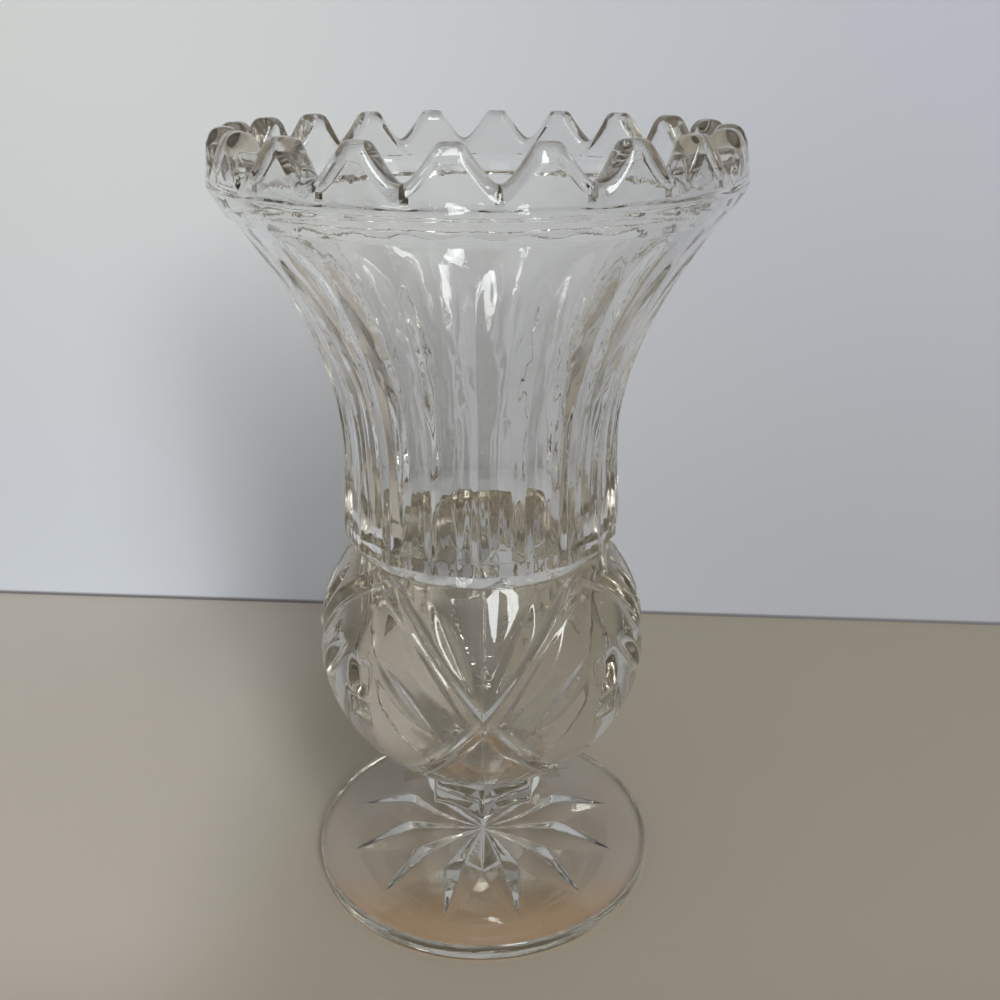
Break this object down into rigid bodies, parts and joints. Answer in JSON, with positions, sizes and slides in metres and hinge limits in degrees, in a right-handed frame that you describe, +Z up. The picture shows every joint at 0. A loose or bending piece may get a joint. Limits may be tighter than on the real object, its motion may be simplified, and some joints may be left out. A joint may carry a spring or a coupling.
{
  "type": "bud vase",
  "caption": "Small footed bud vase of clear pressed glass: toothed rim, fluted trumpet neck, ball with a cut pattern, short stem and domed foot with a star beneath.",
  "frame": {"origin": "middle of the circle on which the foot rests, on the table plane", "axes": "+Z up along the vase's axis, -Y towards the front crossing of the cut pattern, +X to the right seen from the front"},
  "size_m": [0.0786, 0.0786, 0.1299],
  "materials": {
    "clear_glass": "fire-polished pressed glass"
  },
  "bodies": {
    "root": {"vase": "clear_glass"}
  },
  "joints": []
}
